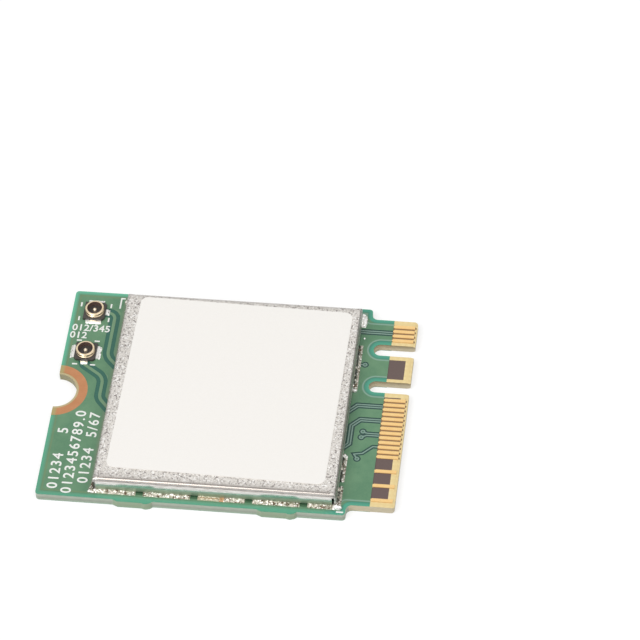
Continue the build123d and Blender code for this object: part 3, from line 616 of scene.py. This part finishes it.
foot_painted_reflection = (0.45, 0.53, 0.41)
bend_line_painted_shade = (0.42, 0.32, 0.27)
side_wall_painted_shades = [(0.70, 0.69, 0.65), (0.38, 0.38, 0.35)]
left_wall_painted_shade = (0.54, 0.53, 0.50)
dirt_shade = (0.27, 0.26, 0.24)
slit_painted_shadow = (0.10, 0.085, 0.065)

tin, tree, shader = new_finish("matt_tin", plain_tin, roughness=0.4, metallic=0.92)
place, x, y, z = place_in_mm(tree)
past_left = times(tree, below(tree, x, -side_fold_x), above(tree, z, left_plate_z))
past_right = times(tree, above(tree, x, side_fold_x), above(tree, z, right_plate_z))
on_plate = largest(tree, above(tree, z, plate_z), past_left, past_right)
crystals = grain(tree, place, scale=3.6, detail=1.0, roughness=0.4)
seams = ramp(tree, away_from(tree, crystals, 0.5), (0.008, 0.045))
pits = ramp(tree, grain(tree, place, scale=5.0, detail=1.0, roughness=0.4), (0.34, 0.42))
shine = ramp(tree, grain(tree, place, scale=6.0, detail=1.0, roughness=0.5), (0.56, 0.64))
from_middle = away_from(tree, y, can_middle_y)
# A dark band is painted across the start of the front fold, on the plate and on the wall: a painted dark
# reflection.
fold_start_dark_band = times(tree, ramp(tree, from_middle, fold_start_reach),
                   ramp(tree, from_middle, fold_end_reach), below(tree, y, 0.0))
plate_colour = blend_colour(tree, seams, *crystal_shades)
plate_colour = blend_colour(tree, pits, pit_shade, plate_colour)
plate_colour = blend_colour(tree, shine, plate_colour, shine_shade)
# The plate is painted darker towards its front and back edges: painted shade where it turns into the folds.
plate_edge_shade = ramp(tree, from_middle, plate_shade_reach, (0.0, 0.35))
plate_colour = blend_colour(tree, plate_edge_shade, plate_colour, plate_edge_painted_shade)
plate_colour = blend_colour(tree, times(tree, fold_start_dark_band, 0.65), plate_colour, fold_start_painted_shade)

streaks = grain(tree, squeezed(tree, place, (1.0, 1.0, 6.0)), scale=1.6, detail=3.0)
wall_colour = blend_colour(tree, ramp(tree, streaks, (0.35, 0.65)), *wall_shades)
# The fold is painted darker, most of all on the left where the lamp's highlight falls: painted shade that
# tones the highlight down.
fold_shade_colour = blend_colour(tree, ramp(tree, x, fold_shade_x), *fold_painted_shades)
wall_colour = blend_colour(tree, ramp(tree, z, fold_shade_z), wall_colour, fold_shade_colour)
# Painted dark reflection at the front fold's start, on the wall.
wall_colour = blend_colour(tree, times(tree, fold_start_dark_band, 0.8), wall_colour, low_fold_start_painted_shade)
# The low part of the back fold is painted pale: a painted highlight.
back_fold_highlight = times(tree, above(tree, y, back_fold_y), ramp(tree, z, back_fold_z))
wall_colour = blend_colour(tree, back_fold_highlight, wall_colour, back_fold_painted_highlight)
# The front and back walls are painted green towards the foot: a painted reflection of the board.
wall_colour = blend_colour(tree, ramp(tree, z, foot_reflection_z), wall_colour, foot_painted_reflection)
# A brownish line is painted low across the fold: a painted dark reflection.
bend_line = times(tree, figure(tree, "COMPARE", z, bend_line_z, bend_line_half), 0.45)
wall_colour = blend_colour(tree, bend_line, wall_colour, bend_line_painted_shade)
# The side walls are painted darker on their folds, and the left wall a middle grey: painted shade where the
# plate's sides turn down and over the left wall.
side_wall = above(tree, figure(tree, "ABSOLUTE", x), side_wall_x)
side_colour = blend_colour(tree, ramp(tree, z, side_fold_z), *side_wall_painted_shades)
side_colour = blend_colour(tree, below(tree, x, 0.0), side_colour, left_wall_painted_shade)
wall_colour = blend_colour(tree, side_wall, wall_colour, side_colour)
dirt = times(tree, ramp(tree, grain(tree, place, scale=6.5, detail=2.0), (0.42, 0.62)), side_wall)
wall_colour = blend_colour(tree, dirt, wall_colour, dirt_shade)
# The front end of the left wall is painted near black: painted shadow in the slit at the front-left corner.
left_slit_shadow = times(tree, below(tree, x, left_slit_x), below(tree, y, left_slit_y),
                  below(tree, z, side_bend_start))
wall_colour = blend_colour(tree, left_slit_shadow, wall_colour, slit_painted_shadow)

foot_roughness = ramp(tree, z, foot_reflection_z, (0.17, 0.42))
wall_roughness = figure(tree, "ADD", times(tree, side_wall, 0.2), foot_roughness)
roughness = add_node(tree, "Mix", {0: on_plate, 2: wall_roughness, 3: 0.42}).outputs[0]
coat(tree, shader, blend_colour(tree, on_plate, wall_colour, plate_colour), roughness)
plate_relief = times(tree, figure(tree, "ADD", seams, pits), on_plate, 0.008)
dent(tree, shader, figure(tree, "ADD", plate_relief, times(tree, z, -wall_lean)), depth_mm=1.0)


def finish_piece(mesh, name, finish, slot, *stands_for):
    """Brings a closed mesh from mm to metres and sets it on the card in its finish."""
    bmesh.ops.recalc_face_normals(mesh, faces=mesh.faces)
    bmesh.ops.scale(mesh, vec=(0.001, 0.001, 0.001), verts=mesh.verts)
    for face in mesh.faces:
        face.smooth = True
    data = bpy.data.meshes.new(name)
    mesh.to_mesh(data)
    mesh.free()
    data.set_sharp_from_angle(angle=crease_angle)
    data.materials.append(finish)
    piece = bpy.data.objects.new(name, data)
    bpy.context.scene.collection.objects.link(piece)
    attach(piece, "root")
    if stands_for:
        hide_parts(*stands_for)


def across_folds(low, high, radius):
    """Steps from edge to edge over the folded sheet: each one's place and its height over the folds' foot."""
    turns = [math.pi / 2 * k / fold_steps for k in range(fold_steps + 1)]
    rising = [(low + radius - radius * math.sin(turn), radius * math.cos(turn)) for turn in reversed(turns)]
    falling = [(high - radius + radius * math.sin(turn), radius * math.cos(turn)) for turn in turns]
    return rising + falling


def folded_sheet(mesh, inset):
    """One face of the can's top, a plate whose four folds meet in mitred corners. Gives its lower edge.

    Where two folds meet, a square of the grid is split along the mitre, so that neither fold is bent.
    """
    radius = bend_radius - inset
    columns = across_folds(-can_x + inset, can_x - inset, radius)
    rows = across_folds(can_front_y + inset, can_back_y - inset, radius)
    grid = [[mesh.verts.new((x, y, side_bend_start + min(x_height, y_height))) for x, x_height in columns]
            for y, y_height in rows]
    for low, high in zip(grid, grid[1:]):
        for i in range(len(columns) - 1):
            corners = [low[i], low[i + 1], high[i + 1], high[i]]
            heights = [corner.co.z for corner in corners]
            top = heights.index(max(heights))
            lies_flat = abs(heights[0] + heights[2] - heights[1] - heights[3]) < 1e-6
            if lies_flat:
                mesh.faces.new(corners)
            else:
                mesh.faces.new([corners[top], corners[(top + 1) % 4], corners[(top + 2) % 4]])
                mesh.faces.new([corners[top], corners[(top + 2) % 4], corners[(top + 3) % 4]])
    return grid[0] + [row[-1] for row in grid[1:]] + grid[-1][-2::-1] + [row[0] for row in grid[-2:0:-1]]


mesh = bmesh.new()
mesh.from_mesh(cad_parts["shield_can"].data)
bmesh.ops.scale(mesh, vec=(1000, 1000, 1000), verts=mesh.verts)
bmesh.ops.remove_doubles(mesh, verts=mesh.verts, dist=0.001)

# The walls are kept below their bends, and their cut tops are closed.
everything = [*mesh.verts, *mesh.edges, *mesh.faces]
bmesh.ops.bisect_plane(mesh, geom=everything, dist=0.0005, plane_co=(0, 0, side_bend_start),
                       plane_no=(0, 0, 1), clear_outer=True)
bmesh.ops.holes_fill(mesh, edges=[edge for edge in mesh.edges if edge.is_boundary])
for vert in mesh.verts:
    on_front_wall = vert.co.y < can_front_y + sheet_thickness + 0.01
    if on_front_wall and abs(vert.co.x - front_left_corner_x) < 0.05:
        vert.co.x -= front_left_shift

# The top stands on them: its two faces, and a rim that joins their lower edges.
outer, inner = folded_sheet(mesh, 0.0), folded_sheet(mesh, sheet_thickness)
for i in range(len(outer)):
    mesh.faces.new((outer[i - 1], outer[i], inner[i], inner[i - 1]))
finish_piece(mesh, "folded_can", tin, "tinned_steel", "shield_can")


# Solder: tin alloy, printed as paste on the lands and melted in the oven. It climbs the can's foot in
# lumps, bright and uneven, with brown flux in its hollows, and it runs out round the open corners.
# Where it is thin on the front, the copper shows through.
foot_z = 0.80
front_seam_width = 0.40
front_seam_height = 0.15
right_seam_width = 0.30
right_seam_height = 0.30
left_seam_width = 0.135
left_seam_height = 0.12
port_seam_width = 0.20
port_seam_height = 0.14
seam_taper = 0.12
seam_ring_step = 0.055
seam_profile_steps = 6
cross_runs = [(-10.35, -6.6), (-5.98, -2.007), (-1.387, 2.587), (3.207, 7.18), (7.80, 10.35)]
right_runs = [(-10.3, -8.2), (-7.65, -4.9), (2.0, 6.95), (8.95, 10.2)]
left_runs = [(-10.3, -2.8), (-0.9, 1.59), (3.59, 9.9)]
puddles = [((-10.42, -10.38), (0.24, 0.12, 0.10)), ((-10.28, -10.27), (0.09, 0.08, 0.42)),
           ((10.33, -10.35), (0.37, 0.21, 0.30)), ((10.36, 1.98), (0.22, 0.17, 0.20)),
           ((10.34, -4.95), (0.17, 0.20, 0.20)), ((10.42, -8.35), (0.16, 0.26, 0.20)),
           ((10.42, 9.55), (0.26, 0.55, 0.16)), ((10.58, 7.75), (0.09, 0.09, 0.06))]
tabs_along_x = [(-13.0, 9.88, 0.66, 1), (-13.0, 7.60, 0.66, -1), (-13.1, 3.12, 0.28, -1)]
tabs_along_y = [(-11.88, 8.74, 0.28, 1), (-11.96, 4.24, 0.66, 1), (-14.24, 4.24, 0.66, -1)]
clean_patches = [(9.95, 10.9, -10.7, -10.1), (-10.8, -10.1, -10.6, -10.36), (9.9, 10.9, 7.5, 10.5),
                 (10.1, 10.65, 1.72, 2.16), (10.1, 10.6, -5.16, -4.76)]
ports_end_x = -11.6
right_shade_start_x = 10.18
right_shade_fade_x = (10.44, 10.32)
right_shade_middle_y = -0.8
right_shade_half_y = 9.1
thin_line_y = -10.30
thin_line_half = 0.035
thin_patch = (-1.45, 0.45, -10.6, -10.0)
copper_patch = (0.48, 0.82, -10.6, -10.0)
plain_solder = (0.80, 0.78, 0.75)
solder_shades = [(0.26, 0.24, 0.18), (0.62, 0.58, 0.50)]
flux_shade = (0.13, 0.09, 0.055)
speck_shade = (0.95, 0.93, 0.88)
right_foot_painted_shade = (0.06, 0.07, 0.055)
thin_shades = [(0.48, 0.44, 0.33), (0.24, 0.16, 0.08)]
shown_copper = (0.50, 0.29, 0.16)
clean_solder = (0.95, 0.94, 0.91)


def lumpy_seam(mesh, start, end, outward, width, height):
    """A solder seam along a wall's foot, from start to end, that spreads outward over the board. In mm."""
    start, end, outward, up = Vector(start), Vector(end), Vector(outward), Vector((0, 0, 1))
    length = (end - start).length
    count = max(6, round(length / seam_ring_step))
    rings = []
    for i in range(count + 1):
        share = i / count
        along = start.lerp(end, share)
        taper = min(1.0, math.sqrt(min(share, 1 - share) * length / seam_taper + 0.02))
        swell = 0.78 + 0.42 * noise.noise(along * 1.3) + 0.34 * noise.noise(along * 4.1)
        climb = 0.74 + 0.50 * noise.noise(along * 1.9 + Vector((7, 3, 1))) + 0.40 * noise.noise(along * 5.0)
        reach = width * taper * min(1.0, max(0.35, swell))
        rise = height * taper * min(1.15, max(0.30, climb))
        in_wall = along - outward * 0.03
        ring = [mesh.verts.new(in_wall), mesh.verts.new(in_wall + up * rise)]
        for k in range(seam_profile_steps + 1):
            turn = k / seam_profile_steps * math.pi / 2
            bulge = 1 - 0.30 * math.sin(2 * turn)
            spot = along + outward * reach * math.sin(turn) * bulge + up * (rise * math.cos(turn) * bulge)
            lump = 0.045 * math.sin(2 * turn) * noise.noise(spot * 6.0)
            ring.append(mesh.verts.new(spot + (outward + up) * lump))
        rings.append(ring)
    sides = len(rings[0])
    for first, second in zip(rings, rings[1:]):
        for k in range(sides):
            mesh.faces.new((first[k], first[(k + 1) % sides], second[(k + 1) % sides], second[k]))
    mesh.faces.new(rings[0])
    mesh.faces.new(rings[-1])


def seam_along_x(mesh, first, last, edge_y, way, width, height):
    lumpy_seam(mesh, (first, edge_y, foot_z), (last, edge_y, foot_z), (0, way, 0), width, height)


def seam_along_y(mesh, first, last, edge_x, way, width, height):
    lumpy_seam(mesh, (edge_x, first, foot_z), (edge_x, last, foot_z), (way, 0, 0), width, height)


def puddle(mesh, center, size):
    """A frozen drop of solder: a lumpy flattened ball with its widest part on the board. In mm."""
    center = Vector((*center, foot_z))
    drop = bmesh.ops.create_icosphere(mesh, subdivisions=3, radius=1.0)
    for vert in drop["verts"]:
        swell = 1 + 0.22 * noise.noise(vert.co * 1.7 + center) + 0.12 * noise.noise(vert.co * 5.0)
        flat = [way * swell * reach for way, reach in zip(vert.co, size)]
        vert.co = center + Vector((flat[0], flat[1], max(0.0, flat[2])))


solder, tree, shader = new_finish("reflowed_solder", plain_solder, roughness=0.28, metallic=0.8)
place, x, y, z = place_in_mm(tree)
lumps = grain(tree, place, scale=2.4, detail=3.0, roughness=0.6)
flux = grain(tree, place, scale=4.0, detail=2.0, roughness=0.5)
specks = grain(tree, place, scale=6.5, detail=1.0, roughness=0.5)
solder_colour = blend_colour(tree, ramp(tree, lumps, (0.40, 0.60)), *solder_shades)
solder_colour = blend_colour(tree, ramp(tree, flux, (0.44, 0.38)), solder_colour, flux_shade)
solder_colour = blend_colour(tree, ramp(tree, specks, (0.58, 0.64)), solder_colour, speck_shade)
# Beside the can's right wall the solder is painted near black in patches: painted shade at the wall's foot.
beside_can = figure(tree, "COMPARE", y, right_shade_middle_y, right_shade_half_y)
beside_can = times(tree, above(tree, x, right_shade_start_x), beside_can)
near_wall = ramp(tree, x, right_shade_fade_x)
right_foot_shade = ramp(tree, grain(tree, place, scale=2.2, detail=2.0), (0.56, 0.49))
right_foot_shade = times(tree, beside_can, near_wall, right_foot_shade)
solder_colour = blend_colour(tree, right_foot_shade, solder_colour, right_foot_painted_shade)
thin_colour = blend_colour(tree, figure(tree, "COMPARE", y, thin_line_y, thin_line_half), *thin_shades)
solder_colour = blend_colour(tree, inside_patch(tree, x, y, thin_patch), solder_colour, thin_colour)
solder_colour = blend_colour(tree, inside_patch(tree, x, y, copper_patch), solder_colour, shown_copper)
in_clean = [inside_patch(tree, x, y, patch) for patch in clean_patches]
clean = largest(tree, *in_clean, below(tree, x, ports_end_x))
clean = times(tree, clean, ramp(tree, lumps, (0.34, 0.46)))
solder_colour = blend_colour(tree, clean, solder_colour, clean_solder)
coat(tree, shader, solder_colour, ramp(tree, lumps, (0.3, 0.7), (0.52, 0.34)))
dent(tree, shader, lumps, depth_mm=0.05)
dress(solder, "shield_lands", "port_lands")

mesh = bmesh.new()
for first, last in cross_runs:
    seam_along_x(mesh, first, last, can_front_y, -1, front_seam_width, front_seam_height)
    seam_along_x(mesh, first, last, can_back_y, 1, front_seam_width, front_seam_height)
for first, last in right_runs:
    seam_along_y(mesh, first, last, can_x, 1, right_seam_width, right_seam_height)
for first, last in left_runs:
    seam_along_y(mesh, first, last, -can_x, -1, left_seam_width, left_seam_height)
for center, size in puddles:
    puddle(mesh, center, size)
finish_piece(mesh, "solder_round_can", solder, "solder", "shield_solder")

mesh = bmesh.new()
for middle, edge_y, half, way in tabs_along_x:
    seam_along_x(mesh, middle - half, middle + half, edge_y, way, port_seam_width, port_seam_height)
for edge_x, middle, half, way in tabs_along_y:
    seam_along_y(mesh, middle - half, middle + half, edge_x, way, port_seam_width, port_seam_height)
finish_piece(mesh, "solder_at_ports", solder, "solder", "port_solder")


# Label: a blank matt paper label, stuck on the can by hand and turned by about a degree.
# Its fibres show faintly in the paper's face.
plain_paper = (0.90, 0.88, 0.84)
paper_shades = [(0.86, 0.835, 0.795), (0.92, 0.895, 0.86)]
paper, tree, shader = new_finish("label_paper", plain_paper, roughness=0.75)
shader.inputs["Specular IOR Level"].default_value = 0.2
fibres = grain(tree, place_in_mm(tree)[0], scale=8.0, detail=5.0, roughness=0.65)
coat(tree, shader, blend_colour(tree, fibres, *paper_shades))
dent(tree, shader, fibres, depth_mm=0.006, strength=0.5)
dress(paper, "blank_label")


# Radio parts under the can: moulded chips, ceramic and ferrite parts with tinned ends, a crystal and the
# soft pad that carries the chip's heat to the can. Placed by machine and soldered to gold-plated lands.
moulding_dark = (0.025, 0.025, 0.027)
moulding_light = (0.06, 0.06, 0.065)
leads_dark = (0.55, 0.54, 0.52)
leads_light = (0.80, 0.79, 0.77)
ceramic_dark = (0.42, 0.32, 0.22)
ceramic_light = (0.62, 0.50, 0.38)
ferrite_dark = (0.05, 0.05, 0.05)
ferrite_light = (0.12, 0.12, 0.12)
resistor_dark = (0.03, 0.03, 0.035)
resistor_light = (0.10, 0.10, 0.11)
pad_dark = (0.42, 0.44, 0.47)
pad_light = (0.58, 0.60, 0.63)


def speckled_finish(name, dark, light, roughness, metallic=0.0, scale=9.0):
    finish, tree, shader = new_finish(name, light, roughness=roughness, metallic=metallic)
    fine = grain(tree, place_in_mm(tree)[0], scale=scale, detail=3.0)
    varied = uneven(tree, fine, roughness - 0.07, roughness + 0.07)
    coat(tree, shader, blend_colour(tree, fine, dark, light), varied)
    dent(tree, shader, fine, depth_mm=0.005, strength=0.6)
    return finish


dress(speckled_finish("moulding_compound", moulding_dark, moulding_light, roughness=0.6),
      "radio_chip_body", "front_end_chip_a", "front_end_chip_b", "power_regulator", "memory_chip")
dress(speckled_finish("tinned_leads", leads_dark, leads_light, roughness=0.35, metallic=0.9),
      "radio_chip_leads", "small_chip_leads", "power_inductor_ends", "antenna_filter_ends",
      "capacitor_ends", "resistor_ends")
dress(speckled_finish("fired_ceramic", ceramic_dark, ceramic_light, roughness=0.5),
      "crystal_base", "antenna_filter_bodies", "capacitor_bodies")
dress(speckled_finish("pressed_ferrite", ferrite_dark, ferrite_light, roughness=0.55),
      "power_inductor_bodies")
dress(speckled_finish("glazed_resistor", resistor_dark, resistor_light, roughness=0.35), "resistor_bodies")
dress(speckled_finish("silicone_pad", pad_dark, pad_light, roughness=0.8), "thermal_pad")
dress(tin, "crystal_lid")
dress(gold, "radio_chip_lands", "small_chip_lands", "two_ended_part_lands")
dress(solder, "radio_chip_solder", "small_chip_solder", "two_ended_part_solder")


# Printed marks: white ink lines round the ports and in the corners, printed on the lacquer through a
# screen and baked.
ink_dark = (0.74, 0.76, 0.72)
ink_light = (0.93, 0.94, 0.91)
ink = speckled_finish("white_ink", ink_dark, ink_light, roughness=0.55, scale=14.0)
dress(ink, "printed_marks")


# Printed digits: plain counting numbers in the same white ink, two short lines between the ports and
# three long lines that read up the card beside the can. A line is its words and where its foot starts.
ink_thickness = 0.012
ink_spread = 0.018
digit_share = 0.70
short_height = 0.68
short_spacing = 1.05
long_height = 0.88
long_spacing = 1.22
mask_top_z = 0.80
short_lines = [("012/345", -14.72, 6.62), ("012", -14.80, 5.80)]
long_lines = [("01234    5", -13.28, -10.35), ("0123456789.0", -12.05, -10.75), ("01234  5/67", -10.82, -9.6)]


def print_line(words, height, spacing, foot, turn):
    """A line of digits, height tall in mm, that starts at foot on the lacquer and is turned about it."""
    text = bpy.data.curves.new("digits", "FONT")
    text.body = words
    text.size = height / digit_share
    text.space_character = spacing
    text.offset = ink_spread
    text.extrude = ink_thickness / 2
    text.resolution_u = 4
    held = bpy.data.objects.new("digits", text)
    bpy.context.scene.collection.objects.link(held)
    shape = bpy.data.meshes.new_from_object(held.evaluated_get(bpy.context.evaluated_depsgraph_get()))
    bpy.data.objects.remove(held)
    on_lacquer = Matrix.Translation((*foot, mask_top_z + ink_thickness / 2))
    shape.transform(on_lacquer @ Matrix.Rotation(turn, 4, "Z"))
    return shape


mesh = bmesh.new()
for words, *foot in short_lines:
    mesh.from_mesh(print_line(words, short_height, short_spacing, foot, 0.0))
for words, *foot in long_lines:
    mesh.from_mesh(print_line(words, long_height, long_spacing, foot, math.pi / 2))
bmesh.ops.remove_doubles(mesh, verts=mesh.verts, dist=0.0005)
finish_piece(mesh, "printed_digits", ink, "white_ink")
